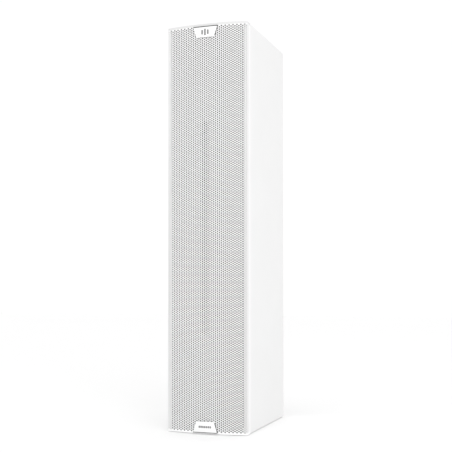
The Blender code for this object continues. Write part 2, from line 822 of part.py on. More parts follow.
def build_mains_inlet():
    """Mains inlet with three blades, and a rocker switch in the same body."""
    at = Vector((0, FLANGE_Y, MAINS_Z))
    rim = 0.0026
    start, end = at - Vector((0.0165, 0, 0.0280)), at + Vector((0.0165, rim, 0.0280))
    inlet = block("mains_inlet", BLACK_PLASTIC, start, end)
    body = block(
        "inlet_body", None, at - Vector((INLET_X, 0.0300, INLET_Z)), at + Vector((INLET_X, rim / 2, INLET_Z))
    )
    join(inlet, body)
    socket_z = -0.0110
    cavity = block(
        "inlet_cavity",
        None,
        at + Vector((-0.0122, -0.0150, socket_z - 0.0083)),
        at + Vector((0.0122, 0.01, socket_z + 0.0083)),
    )
    pocket = block(
        "rocker_pocket",
        None,
        at + Vector((-0.0104, -0.0120, ROCKER_Z - 0.0075)),
        at + Vector((0.0104, 0.01, ROCKER_Z + 0.0075)),
    )
    cut(inlet, cavity, pocket)
    blades = []
    for number, (x, z) in enumerate(((-0.0070, -0.0025), (0.0, 0.0025), (0.0070, -0.0025)), 1):
        spot = at + Vector((x, 0, socket_z + z))
        blades.append(
            block(
                f"inlet_blade_{number}",
                None,
                spot - Vector((0.0010, 0.0160, 0.0020)),
                spot + Vector((0.0010, -0.0030, 0.0020)),
            )
        )
    boolean(inlet, blades, "UNION", "blades")
    half, low, high, dip = 0.0060, -0.0070, 0.0050, 0.0028
    outline = [(-half, high), (0, dip), (half, high), (half, 0.0), (0.0030, low), (-0.0030, low), (-half, 0.0)]
    rocker = plate("power_rocker", BLACK_PLASTIC, outline, 0.0194, at + Vector((0, 0.0, ROCKER_Z)))
    # The outline's first axis becomes world Z and its second world +Y, then the key leans to its OFF side.
    upright = Matrix(((0, 0, 1), (0, 1, 0), (-1, 0, 0)))
    lean = Matrix.Rotation(ROCKER_TILT, 3, "X")
    rocker.rotation_euler = (lean @ upright).to_euler()


# ---------------------------------------------------------------- hardware
def build_handle():
    """Recessed cup in the rear wall with a bar across it."""
    skin, flange, depth = 0.0025, 0.010, 0.045
    middle = (HANDLE_LOW + HANDLE_HIGH) / 2
    cup = block(
        "handle_cup",
        BLACK_PLASTIC,
        (-HANDLE_HALF_WIDTH - flange, PLATE_Y, HANDLE_LOW - flange),
        (HANDLE_HALF_WIDTH + flange, PLATE_OUTER, HANDLE_HIGH + flange),
    )
    dish = block(
        "dish",
        None,
        (-HANDLE_HALF_WIDTH, PLATE_Y - depth, HANDLE_LOW),
        (HANDLE_HALF_WIDTH, PLATE_OUTER - 0.001, HANDLE_HIGH),
    )
    hollow = block(
        "dish_hollow",
        None,
        (-HANDLE_HALF_WIDTH + skin, PLATE_Y - depth + skin, HANDLE_LOW + skin),
        (HANDLE_HALF_WIDTH - skin, PLATE_OUTER + 0.01, HANDLE_HIGH - skin),
    )
    join(cup, dish)
    cut(cup, hollow)
    length = HANDLE_HIGH - HANDLE_LOW - 2 * skin - 2 * GAP
    cylinder("handle_bar", BLACK_METAL, 0.008, length, (0, PLATE_Y - 0.009, middle))


def build_pole_socket():
    """Steel cup for a 35 mm stand pole, flanged under the bottom panel."""
    top = 0.085
    profile = [
        (0, top),
        (POLE_CUP_OUTER, top),
        (POLE_CUP_OUTER, -GAP),
        (0.0300, -GAP),
        (0.0300, -0.0012),
        (POLE_CUP_INNER, -0.0012),
        (POLE_CUP_INNER, top - 0.003),
        (0, top - 0.003),
    ]
    turned("pole_socket", BLACK_METAL, profile, (0, POLE_Y, CABINET_LOW), (0, 0, 0), STEPS_FINE)


def build_feet():
    radius = 0.013
    for row, y in (("front", GRILLE_BACK + 0.045), ("rear", REAR_Y - 0.030)):
        for side, sign in (("left", -1), ("right", 1)):
            at = (sign * (SIDE - 0.028), y, (FOOT_HEIGHT - GAP) / 2)
            cylinder(f"foot_{row}_{side}", RUBBER, radius, FOOT_HEIGHT - GAP, at)


def build_flying_screws():
    """Blanking screws in the threaded flying points, with a hexagon socket in each head."""
    head = SCREW_RECESS - GAP
    profile = [
        (0, -GAP),
        (SCREW_HEAD - 0.001, -GAP),
        (SCREW_HEAD, -GAP - 0.001),
        (SCREW_HEAD, -head),
        (SCREW_SHANK, -head),
        (SCREW_SHANK, -0.016),
        (0, -0.016),
    ]
    for name, at, turn in FLYING_POINTS:
        screw = turned(name, STEEL, profile, at, turn)
        cut(screw, cylinder(f"{name}_socket", None, 0.0028, 0.0038, at, turn, 6))


build_cabinet()
build_baffle()
build_braces()
build_grille()
build_foam()
build_badges()
build_woofers()
build_ports()
build_waveguide()
build_compression_driver()
build_module()
build_plate()
build_heat_sink()
build_input_socket()
build_link_socket()
build_controls()
build_mains_inlet()
build_handle()
build_pole_socket()
build_feet()
build_flying_screws()
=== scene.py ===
"""Looks of the column line array speaker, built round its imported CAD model.

The perforated grille, the badges, the rounded controls, sockets and hardware are made here. The
cabinet, the drivers and the sheet-metal parts keep their CAD shape and get their materials here.
"""

import math

import bmesh
import bpy
from mathutils import Matrix, Vector


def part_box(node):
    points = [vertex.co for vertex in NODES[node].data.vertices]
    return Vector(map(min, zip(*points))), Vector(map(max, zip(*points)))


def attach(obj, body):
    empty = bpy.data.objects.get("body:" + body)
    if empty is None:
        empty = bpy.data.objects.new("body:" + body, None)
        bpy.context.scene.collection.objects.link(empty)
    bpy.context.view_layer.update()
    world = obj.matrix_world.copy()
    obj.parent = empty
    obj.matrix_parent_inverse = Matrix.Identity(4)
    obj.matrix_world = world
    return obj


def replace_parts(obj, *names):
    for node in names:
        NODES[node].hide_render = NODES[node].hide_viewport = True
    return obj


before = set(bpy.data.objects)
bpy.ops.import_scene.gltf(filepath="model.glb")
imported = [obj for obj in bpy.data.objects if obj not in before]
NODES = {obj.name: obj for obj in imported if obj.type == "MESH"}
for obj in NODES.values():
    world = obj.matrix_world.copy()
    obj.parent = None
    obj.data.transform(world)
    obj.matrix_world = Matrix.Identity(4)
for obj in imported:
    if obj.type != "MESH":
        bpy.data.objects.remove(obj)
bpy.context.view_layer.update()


# ---------------------------------------------------------------- places, from the frame
def low(node):
    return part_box(node)[0]


def high(node):
    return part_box(node)[1]


def middle(node):
    return (low(node) + high(node)) / 2


GRILLE_LOW, GRILLE_HIGH = low("front_grille").z, high("front_grille").z
GRILLE_FRONT, GRILLE_BACK = low("front_grille").y, high("front_grille").y
SIDE = high("front_grille").x
PLATE_FACE = high("amp_plate").y
CONTROL_Z = middle("gain_knob").z

# The grille's plan repeats the sheet-metal pan of the CAD model.
SHEET = 0.0010
BOW = 0.012
CORNER = 0.006
BOW_RADIUS = (SIDE**2 + BOW**2) / (2 * BOW)
BOW_CENTRE_Y = GRILLE_FRONT + BOW_RADIUS

# Perforation: a hexagonal lattice whose nearest neighbours stand one above the other.
ROWS = 178
MARGIN = 0.0036
TOP_MARGIN = 0.0058
HEM = 0.0063  # height of the plain strip along the top
PITCH = (GRILLE_HIGH - GRILLE_LOW - MARGIN - TOP_MARGIN) / ROWS
COLUMN_PITCH = PITCH * math.sqrt(3) / 2
HOLE_FLATS = 0.69 * PITCH


# ---------------------------------------------------------------- node-based materials
def new_material(name, colour, roughness, metallic=0.0):
    """A Principled material, with its node tree and its shader."""
    made = bpy.data.materials.new(name)
    made.use_nodes = True
    shader = made.node_tree.nodes["Principled BSDF"]
    shader.inputs["Base Color"].default_value = (*colour, 1)
    shader.inputs["Roughness"].default_value = roughness
    shader.inputs["Metallic"].default_value = metallic
    return made, made.node_tree, shader


def coordinates(tree, stretch=(1, 1, 1)):
    """Object coordinates in metres, stretched along an axis for brushing or grain."""
    source = tree.nodes.new("ShaderNodeTexCoord")
    mapping = tree.nodes.new("ShaderNodeMapping")
    mapping.inputs["Scale"].default_value = stretch
    tree.links.new(source.outputs["Object"], mapping.inputs["Vector"])
    return mapping.outputs["Vector"]


def noise(tree, vector, scale, detail=3.0, roughness=0.5):
    made = tree.nodes.new("ShaderNodeTexNoise")
    made.inputs["Scale"].default_value = scale
    made.inputs["Detail"].default_value = detail
    made.inputs["Roughness"].default_value = roughness
    tree.links.new(vector, made.inputs["Vector"])
    return made.outputs["Fac"]


def cells(tree, vector, scale):
    made = tree.nodes.new("ShaderNodeTexVoronoi")
    made.inputs["Scale"].default_value = scale
    tree.links.new(vector, made.inputs["Vector"])
    return made.outputs["Distance"]


def spread(tree, value, low_end, high_end):
    """Maps 0 to 1 onto a range, for roughness."""
    made = tree.nodes.new("ShaderNodeMapRange")
    made.inputs["To Min"].default_value = low_end
    made.inputs["To Max"].default_value = high_end
    tree.links.new(value, made.inputs["Value"])
    return made.outputs["Result"]


def tint(tree, shader, value, dark, light):
    """Drives the base colour between two colours."""
    ramp = tree.nodes.new("ShaderNodeValToRGB")
    ramp.color_ramp.elements[0].color = (*dark, 1)
    ramp.color_ramp.elements[1].color = (*light, 1)
    ramp.color_ramp.elements[0].position = 0.3
    ramp.color_ramp.elements[1].position = 0.7
    tree.links.new(value, ramp.inputs["Fac"])
    tree.links.new(ramp.outputs["Color"], shader.inputs["Base Color"])


def bump(tree, shader, value, depth, strength=1.0):
    """Relief of a given depth in metres."""
    made = tree.nodes.new("ShaderNodeBump")
    made.inputs["Strength"].default_value = strength
    made.inputs["Distance"].default_value = depth
    tree.links.new(value, made.inputs["Height"])
    tree.links.new(made.outputs["Normal"], shader.inputs["Normal"])


def grained(name, colour, roughness, grain, depth, variation, metallic=0.0):
    """A moulded, cast or painted surface: fine grain, uneven gloss and a little colour variation."""
    made, tree, shader = new_material(name, colour, roughness, metallic)
    vector = coordinates(tree)
    fine = noise(tree, vector, grain, 4.0, 0.6)
    broad = noise(tree, vector, grain / 40, 3.0)
    varied = spread(tree, broad, max(roughness - 0.08, 0.02), min(roughness + 0.08, 1.0))
    tree.links.new(varied, shader.inputs["Roughness"])
    darker = tuple(channel * (1 - variation) for channel in colour)
    lighter = tuple(min(channel * (1 + variation), 1.0) for channel in colour)
    tint(tree, shader, broad, darker, lighter)
    bump(tree, shader, fine, depth)
    return made


def paint_material():
    """Textured cabinet paint: small rounded grains under an even white coat."""
    made, tree, shader = new_material("textured_white_paint", (0.785, 0.785, 0.785), 0.55)
    vector = coordinates(tree)
    grains = cells(tree, vector, 1500)
    broad = noise(tree, vector, 9.0, 2.0)
    tree.links.new(spread(tree, broad, 0.50, 0.62), shader.inputs["Roughness"])
    tint(tree, shader, broad, (0.778, 0.778, 0.778), (0.792, 0.792, 0.792))
    bump(tree, shader, grains, 0.00010, 0.6)
    return made


def powder_coat_material(name, white):
    """Powder coat with its slight orange peel. Its colour is even, so only gloss and relief vary."""
    made, tree, shader = new_material(name, (white, white, white), 0.42)
    vector = coordinates(tree)
    tree.links.new(spread(tree, noise(tree, vector, 60, 2.0), 0.36, 0.48), shader.inputs["Roughness"])
    bump(tree, shader, noise(tree, vector, 1400, 2.0), 0.00004, 0.5)
    return made


def foam_material():
    """Open-cell foam: a pitted matt surface."""
    made, tree, shader = new_material("grey_foam", (0.13, 0.13, 0.13), 0.95)
    vector = coordinates(tree)
    pores = cells(tree, vector, 900)
    tint(tree, shader, pores, (0.08, 0.08, 0.08), (0.18, 0.18, 0.18))
    bump(tree, shader, pores, 0.0006, 0.8)
    return made


def plywood_material():
    """Birch ply: grain on the faces, drawn out along Y."""
    made, tree, shader = new_material("birch_plywood", (0.60, 0.45, 0.28), 0.7)
    vector = coordinates(tree, (1.0, 0.06, 14.0))
    grain = noise(tree, vector, 120, 6.0, 0.65)
    tint(tree, shader, grain, (0.45, 0.31, 0.17), (0.66, 0.51, 0.33))
    tree.links.new(spread(tree, grain, 0.62, 0.8), shader.inputs["Roughness"])
    bump(tree, shader, grain, 0.0002, 0.5)
    return made


def woven_material():
    """Spider cloth: a fine plain weave set in resin."""
    made, tree, shader = new_material("spider_cloth", (0.55, 0.38, 0.16), 0.85)
    vector = coordinates(tree)
    threads = []
    for direction in ("X", "Z"):
        wave = tree.nodes.new("ShaderNodeTexWave")
        wave.bands_direction = direction
        wave.inputs["Scale"].default_value = 500
        wave.inputs["Distortion"].default_value = 0.4
        tree.links.new(vector, wave.inputs["Vector"])
        threads.append(wave.outputs["Fac"])
    weave = tree.nodes.new("ShaderNodeMath")
    weave.operation = "MULTIPLY"
    tree.links.new(threads[0], weave.inputs[0])
    tree.links.new(threads[1], weave.inputs[1])
    tint(tree, shader, weave.outputs["Value"], (0.42, 0.27, 0.10), (0.62, 0.45, 0.20))
    bump(tree, shader, weave.outputs["Value"], 0.0003)
    return made


def brushed_material(name, colour, roughness, stretch):
    """Metal with fine parallel scratches, drawn out along the axis whose stretch is small."""
    made, tree, shader = new_material(name, colour, roughness, 1.0)
    vector = coordinates(tree, stretch)
    scratches = noise(tree, vector, 700, 5.0, 0.7)
    tree.links.new(spread(tree, scratches, roughness - 0.1, roughness + 0.12), shader.inputs["Roughness"])
    darker = tuple(channel * 0.88 for channel in colour)
    tint(tree, shader, scratches, darker, colour)
    bump(tree, shader, scratches, 0.00003, 0.6)
    return made


PAINT = paint_material()
POWDER = powder_coat_material("white_powder_coat", 0.915)
# A darker copy of the white powder coat: painted shade along the grille's top hem and top lip.
POWDER_PAINTED_SHADE = powder_coat_material("white_powder_coat_painted_shade", 0.70)
FOAM = foam_material()
PLYWOOD = plywood_material()
SPIDER = woven_material()
BADGE = grained("white_badge_plastic", (0.91, 0.91, 0.91), 0.30, 900, 0.00002, variation=0.02)
# Near-black edging of the badges: painted shadow in the gap round each badge and painted shade on its side
# walls.
BADGE_PAINTED_SHADOW = grained("badge_painted_shadow_edge", (0.05, 0.05, 0.05), 0.6, 800, 0.00004, variation=0.15)
MARK = grained("grey_print", (0.22, 0.22, 0.22), 0.5, 900, 0.00001, variation=0.08)
WHITE_PRINT = grained("white_print", (0.75, 0.75, 0.74), 0.55, 900, 0.00001, variation=0.05)
BLACK_PAINT = grained("black_baffle_paint", (0.025, 0.025, 0.026), 0.7, 500, 0.00015, variation=0.2)
BLACK_PLASTIC = grained("black_plastic", (0.022, 0.022, 0.023), 0.48, 1200, 0.00006, variation=0.15)
GREY_PLASTIC = grained("dark_grey_plastic", (0.07, 0.07, 0.072), 0.45, 1200, 0.00005, variation=0.12)
BLACK_METAL = grained("black_powder_coat", (0.028, 0.028, 0.030), 0.45, 1100, 0.00008, variation=0.12)
PAPER = grained("coated_paper", (0.035, 0.034, 0.033), 0.85, 420, 0.00025, variation=0.25)
RUBBER = grained("black_rubber", (0.020, 0.020, 0.020), 0.75, 700, 0.00010, variation=0.2)
FERRITE = grained("ferrite", (0.075, 0.075, 0.080), 0.5, 260, 0.00012, variation=0.15)
CABLE = grained("black_sleeve", (0.045, 0.045, 0.048), 0.5, 600, 0.00004, variation=0.1)
BOARD = grained("solder_mask", (0.015, 0.13, 0.055), 0.35, 380, 0.00005, variation=0.25)
COPPER = grained("enamelled_copper", (0.72, 0.33, 0.14), 0.3, 900, 0.00010, variation=0.12, metallic=1.0)
ALUMINIUM = brushed_material("machined_aluminium", (0.66, 0.67, 0.68), 0.35, (1, 1, 0.04))
STEEL = brushed_material("zinc_plated_steel", (0.60, 0.60, 0.58), 0.38, (0.08, 1, 1))
HEAT_SINK = brushed_material("black_anodised_aluminium", (0.045, 0.045, 0.048), 0.42, (1, 1, 0.03))


def light_material():
    """Status light: a tinted lens with a faint glow."""
    made, tree, shader = new_material("status_light", (0.05, 0.45, 0.16), 0.2)
    shader.inputs["Emission Color"].default_value = (0.10, 0.90, 0.30, 1)
    shader.inputs["Emission Strength"].default_value = 0.6
    bump(tree, shader, noise(tree, coordinates(tree), 900), 0.00002)
    return made


STATUS_LIGHT = light_material()


def finish_node(surface, *names):
    """Gives CAD nodes a material of this script's."""
    for name in names:
        mesh = NODES[name].data
        mesh.materials.clear()
        mesh.materials.append(surface)
        smooth(mesh, 30)


# ---------------------------------------------------------------- modelling helpers
def add(mesh, name, surface, body="cabinet"):
    """Puts a mesh in the scene, on a body and with its material."""
    piece = bpy.data.objects.new(name, mesh)
    bpy.context.scene.collection.objects.link(piece)
    mesh.materials.append(surface)
    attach(piece, body)
    return piece


def smooth(mesh, angle=35):
    """Smooth shading, with an edge kept wherever the faces turn by more than the angle."""
    mesh.shade_smooth()
    mesh.set_sharp_from_angle(angle=math.radians(angle))


def mesh_of(shape, name, angle=35):
    bmesh.ops.recalc_face_normals(shape, faces=shape.faces)
    mesh = bpy.data.meshes.new(name)
    shape.to_mesh(mesh)
    shape.free()
    smooth(mesh, angle)
    return mesh


def arc(centre, radius, start, end, segments):
    """Points from one angle to another, in degrees."""
    points = []
    for i in range(segments + 1):
        angle = math.radians(start + (end - start) * i / segments)
        points.append((centre[0] + radius * math.cos(angle), centre[1] + radius * math.sin(angle)))
    return points


FRONTWARD = Matrix.Rotation(math.radians(90), 4, "X")  # local +Z becomes world -Y
REARWARD = Matrix.Rotation(math.radians(-90), 4, "X")  # local +Z becomes world +Y
UPWARD = Matrix.Identity(4)


def rounded_rectangle(half_x, half_y, radius, segments=6):
    points = []
    for sign_x, sign_y, start in ((1, 1, 0), (-1, 1, 90), (-1, -1, 180), (1, -1, 270)):
        centre = (sign_x * (half_x - radius), sign_y * (half_y - radius))
        points += arc(centre, radius, start, start + 90, segments)
    return points


def rounded_polygon(corners, radius, segments=5):
    """A convex polygon with each corner rounded off."""
    points = []
    count = len(corners)
    for i in range(count):
        here = Vector(corners[i])
        before = (Vector(corners[i - 1]) - here).normalized()
        after = (Vector(corners[(i + 1) % count]) - here).normalized()
        half_angle = before.angle(after) / 2
        centre = here + (before + after).normalized() * radius / math.sin(half_angle)
        reach = radius / math.tan(half_angle)
        start, end = here + before * reach - centre, here + after * reach - centre
        for k in range(segments + 1):
            points.append(tuple(centre + start.lerp(end, k / segments).normalized() * radius))
    return points


def merge(*shapes):
    """Several closed shapes in one mesh."""
    whole = bmesh.new()
    for shape in shapes:
        part = bpy.data.meshes.new("part")
        shape.to_mesh(part)
        shape.free()
        whole.from_mesh(part)
        bpy.data.meshes.remove(part)
    return whole


def bridge(shape, rings):
    """Faces between each ring of vertices and the next."""
    for first, second in zip(rings, rings[1:]):
        for i in range(len(first)):
            j = (i + 1) % len(first)
            shape.faces.new((first[i], first[j], second[j], second[i]))


def loft(sections, at=(0, 0, 0), facing=UPWARD):
    """A closed skin through outlines of equal point counts, each (points, height along local Z)."""
    shape = bmesh.new()
    rings = [[shape.verts.new((x, y, height)) for x, y in outline] for outline, height in sections]
    bridge(shape, rings)
    shape.faces.new(rings[0])
    shape.faces.new(rings[-1])
    bmesh.ops.transform(shape, matrix=Matrix.Translation(at) @ facing, verts=shape.verts)
    return shape


def circle(radius, steps=48):
    turns = [2 * math.pi * i / steps for i in range(steps)]
    return [(radius * math.cos(turn), radius * math.sin(turn)) for turn in turns]


def hexagon(across, steps=48):
    """A hexagon with as many points as a circle, so that a loft can join the two."""
    points = []
    for i in range(steps):
        angle = 2 * math.pi * i / steps
        facet = (angle + math.pi / 6) % (math.pi / 3) - math.pi / 6
        radius = across / 2 / math.cos(facet)
        points.append((radius * math.cos(angle), radius * math.sin(angle)))
    return points


def turned(profile, at, facing, steps=48):
    """A solid of revolution: (radius, height) points from one flat end round to the other."""
    return loft([(circle(radius, steps), height) for radius, height in profile], at, facing)


def pan_screw(at, facing, radius=0.0030, height=0.0016, steps=24):
    """A domed screw head with a hexagon socket."""
    socket, shoulder = radius * 0.9, radius * 0.62
    return loft(
        [
            (hexagon(socket, steps), height * 0.35),
            (hexagon(socket, steps), height),
            (circle(shoulder, steps), height),
            (circle(radius * 0.88, steps), height * 0.75),
            (circle(radius, steps), height * 0.30),
            (circle(radius, steps), 0.0),
            (circle(radius * 0.5, steps), -0.0002),
        ],
        at,
        facing,
    )


def screws(name, places, facing, **sizes):
    """A group of like zinc-plated screws, as one piece."""
    heads = [pan_screw(at, facing, **sizes) for at in places]
    add(mesh_of(merge(*heads), name), name, STEEL)


def ring_plate(outer, inner, bottom, top, at, facing, chamfer=0.0):
    """A plate with one opening; both outlines have the same number of points."""
    sections = [(inner, bottom), (inner, top), (outer, top - chamfer), (outer, bottom)]
    shape = bmesh.new()
    rings = [[shape.verts.new((x, y, height)) for x, y in outline] for outline, height in sections]
    bridge(shape, [*rings, rings[0]])
    bmesh.ops.transform(shape, matrix=Matrix.Translation(at) @ facing, verts=shape.verts)
    return shape


# ---------------------------------------------------------------- perforated grille
CORNER_X = SIDE - CORNER
CORNER_TURN = math.asin(CORNER_X / (BOW_RADIUS - CORNER))
CORNER_Y = BOW_CENTRE_Y - math.sqrt((BOW_RADIUS - CORNER) ** 2 - CORNER_X**2)
BOW_LENGTH = BOW_RADIUS * CORNER_TURN
CORNER_LENGTH = CORNER * (math.pi / 2 - CORNER_TURN)
HALF_GIRTH = BOW_LENGTH + CORNER_LENGTH + GRILLE_BACK - CORNER_Y
COLUMNS = int((HALF_GIRTH - MARGIN) / COLUMN_PITCH)  # in each half


def plan(girth, inset=0.0):
    """The (x, y) that lies a given distance round the sheet from the middle of the front."""
    side = math.copysign(1, girth)
    distance = abs(girth)
    if distance <= BOW_LENGTH:
        turn, radius, centre = distance / BOW_RADIUS, BOW_RADIUS, (0, BOW_CENTRE_Y)
    elif distance <= BOW_LENGTH + CORNER_LENGTH:
        turn = CORNER_TURN + (distance - BOW_LENGTH) / CORNER
        radius, centre = CORNER, (CORNER_X, CORNER_Y)
    else:
        return side * (SIDE - inset), CORNER_Y + distance - BOW_LENGTH - CORNER_LENGTH
    x = centre[0] + (radius - inset) * math.sin(turn)
    return side * x, centre[1] - (radius - inset) * math.cos(turn)


class Perforation:
    """One stretch of perforated sheet: a lattice of hexagonal holes inside straight borders."""

    def __init__(self, first_column, last_column, girth_low, girth_high, z_low, z_high):
        self.columns = range(first_column, last_column)
        self.girths = (girth_low, girth_high)
        self.heights = (z_low, z_high)
        self.points = []
        self.faces = []
        self.holes = {}
        self.rim = []

    def rows(self, column):
        """Every second column starts half a pitch higher and has one hole fewer."""
        return ROWS - column % 2

    def point(self, girth, z):
        self.points.append((girth, z))
        return len(self.points) - 1

    def drill(self):
        radius = HOLE_FLATS / math.sqrt(3)
        for column in self.columns:
            girth = (column + 0.5) * COLUMN_PITCH
            for row in range(self.rows(column)):
                z = GRILLE_LOW + MARGIN + (row + 0.5 + 0.5 * (column % 2)) * PITCH
                self.holes[column, row] = [
                    self.point(girth + radius * math.cos(turn), z + radius * math.sin(turn))
                    for turn in (math.radians(60 * i) for i in range(6))
                ]

    def web(self):
        """The metal between neighbouring holes: a bar along each side, a triangle at each corner."""
        for (column, row), here in self.holes.items():
            step = column % 2
            above = self.holes.get((column, row + 1))
            upper = self.holes.get((column + 1, row + step))
            lower = self.holes.get((column + 1, row + step - 1))
            if above:
                self.faces.append((here[1], above[5], above[4], here[2]))
            if upper:
                self.faces.append((here[0], upper[4], upper[3], here[1]))
            if lower:
                self.faces.append((here[5], lower[3], lower[2], here[0]))
            if above and upper:
                self.faces.append((here[1], upper[3], above[5]))
            if upper and lower:
                self.faces.append((here[0], lower[2], upper[4]))

    def chains(self):
        """The outermost hole corners, as four chains that run counter-clockwise round the lattice."""
        first, last = self.columns[0], self.columns[-1]
        bottom, top = [], []
        for column in self.columns:
            foot, head = self.holes[column, 0], self.holes[column, self.rows(column) - 1]
            stands_out = column % 2 == 0
            if stands_out and column != first:
                bottom.append(foot[3])
                top.append(head[3])
            bottom += [foot[4], foot[5]]
            top += [head[2], head[1]]
            if stands_out and column != last:
                bottom.append(foot[0])
                top.append(head[0])
        right = [self.holes[last, row][i] for row in range(self.rows(last)) for i in (5, 0, 1)]
        left = [self.holes[first, row][i] for row in range(self.rows(first)) for i in (4, 3, 2)]
        return bottom, right, top[::-1], left[::-1]

    def border(self):
        """Plain metal from the lattice out to the straight edges, and the loop of those edges."""
        (girth_low, girth_high), (z_low, z_high) = self.girths, self.heights
        places = (girth_low, z_low), (girth_high, z_low), (girth_high, z_high), (girth_low, z_high)
        corners = [self.point(girth, z) for girth, z in places]
        edges = []
        for number, chain in enumerate(self.chains()):
            edge = []
            for index in chain:
                girth, z = self.points[index]
                place = ((girth, z_low), (girth_high, z), (girth, z_high), (girth_low, z))[number]
                edge.append(self.point(*place))
            for i in range(len(chain) - 1):
                self.faces.append((edge[i], edge[i + 1], chain[i + 1], chain[i]))
            edges.append((chain, edge))
        for number, corner in enumerate(corners):
            chain, edge = edges[number]
            before = edges[number - 1][1]
            self.faces.append((before[-1], corner, edge[0], chain[0]))
            self.rim += [corner, *edge]

    def mesh(self, name):
        self.drill()
        self.web()
        self.border()
        count = len(self.points)
        vertices = []
        for inset in (0.0, SHEET):
            vertices += [(*plan(girth, inset), z) for girth, z in self.points]
        faces = list(self.faces)
        faces += [tuple(i + count for i in reversed(face)) for face in self.faces]
        loops = [hole[::-1] for hole in self.holes.values()] + [self.rim]
        for loop in loops:
            for here, after in zip(loop, loop[1:] + loop[:1]):
                faces.append((here, here + count, after + count, after))
        mesh = bpy.data.meshes.new(name)
        mesh.from_pydata(vertices, [], faces)
        smooth(mesh, 30)
        return mesh


def sheet_outline(inset, segments=84):
    """The plan of the whole pan, closed along its back."""
    return [plan(-HALF_GIRTH + 2 * HALF_GIRTH * i / segments, inset) for i in range(segments + 1)]


def strip(z_low, z_high, name):
    """A plain strip of the sheet, round its front and both flanges."""
    shape = bmesh.new()
    outer, inner = sheet_outline(0.0), sheet_outline(SHEET)
    rings = []
    for outside, inside in zip(outer, inner):
        section = ((*outside, z_low), (*outside, z_high), (*inside, z_high), (*inside, z_low))
        rings.append([shape.verts.new(place) for place in section])
    bridge(shape, rings)
    shape.faces.new(rings[0])
    shape.faces.new(rings[-1])
    return mesh_of(shape, name, 30)


def build_grille():
    z_low, z_high = GRILLE_LOW + SHEET, GRILLE_HIGH - HEM
    for name, columns, girths in (
        ("grille_sheet_left", (-COLUMNS, 0), (-HALF_GIRTH, 0.0)),
        ("grille_sheet_right", (0, COLUMNS), (0.0, HALF_GIRTH)),
    ):
        mesh = Perforation(*columns, *girths, z_low, z_high).mesh(name)
        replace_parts(add(mesh, name, POWDER), "front_grille")
    # The hem and the top lip take the darker copy of the powder coat, as painted shade along the top edge.
    hem = strip(z_high, GRILLE_HIGH - SHEET, "grille_hem")
    add(hem, "grille_hem", POWDER_PAINTED_SHADE)
    fold = SHEET * 0.9
    for name, outer, inner, surface in (
        ("grille_lip_bottom", GRILLE_LOW, GRILLE_LOW + SHEET, POWDER),
        ("grille_lip_top", GRILLE_HIGH, GRILLE_HIGH - SHEET, POWDER_PAINTED_SHADE),
    ):
        rise = (inner - outer) / SHEET
        rounding = [
            (sheet_outline(fold * (1 - math.sin(turn))), outer + rise * fold * (1 - math.cos(turn)))
            for turn in (math.radians(90 * i / 4) for i in range(5))
        ]
        lip = loft([*rounding, (sheet_outline(0.0), inner)])
        add(mesh_of(lip, name), name, surface)


# ---------------------------------------------------------------- badges
BEND_STEP = 0.004  # longest straight stretch in the outline of a plate that follows the bow


def bowed(shape):
    """Bends a flat plate at the front of the pan so that it follows the bow."""
    for vertex in shape.verts:
        x = vertex.co.x
        vertex.co.y += BOW_RADIUS - math.sqrt(BOW_RADIUS**2 - x**2)
    return shape


def slab(outline, near, far, centre_z, rim=0.0003):
    """A plate on the bowed front, from near to far in front of the sheet, with a rounded front rim."""
    centre = Vector((sum(x for x, y in outline), sum(y for x, y in outline))) / len(outline)

    def drawn_in(amount):
        points = []
        for x, y in outline:
            offset = Vector((x, y)) - centre
            points.append(tuple(centre + offset * (1 - amount / max(offset.length, 1e-6))))
        return points

    face = far - rim
    rounding = [(drawn_in(rim * 0.4), far - rim * 0.35), (drawn_in(rim), far)]
    sections = [(outline, near), (outline, face), *rounding]
    return bowed(loft(sections, (0, GRILLE_FRONT, centre_z), FRONTWARD))


def keystone(wide, narrow, tall, radius, upright):
    """An outline wider at one end, its edges cut into short steps so that the plate can bend."""
    corners = [(-wide / 2, tall / 2), (-narrow / 2, -tall / 2), (narrow / 2, -tall / 2), (wide / 2, tall / 2)]
    if not upright:
        corners = [(x, -y) for x, y in reversed(corners)]
    points = []
    outline = rounded_polygon(corners, radius)
    for here, after in zip(outline, outline[1:] + outline[:1]):
        length = math.dist(here, after)
        steps = max(1, int(length / BEND_STEP))
        points += [
            (here[0] + (after[0] - here[0]) * i / steps, here[1] + (after[1] - here[1]) * i / steps)
            for i in range(steps)
        ]
    return points


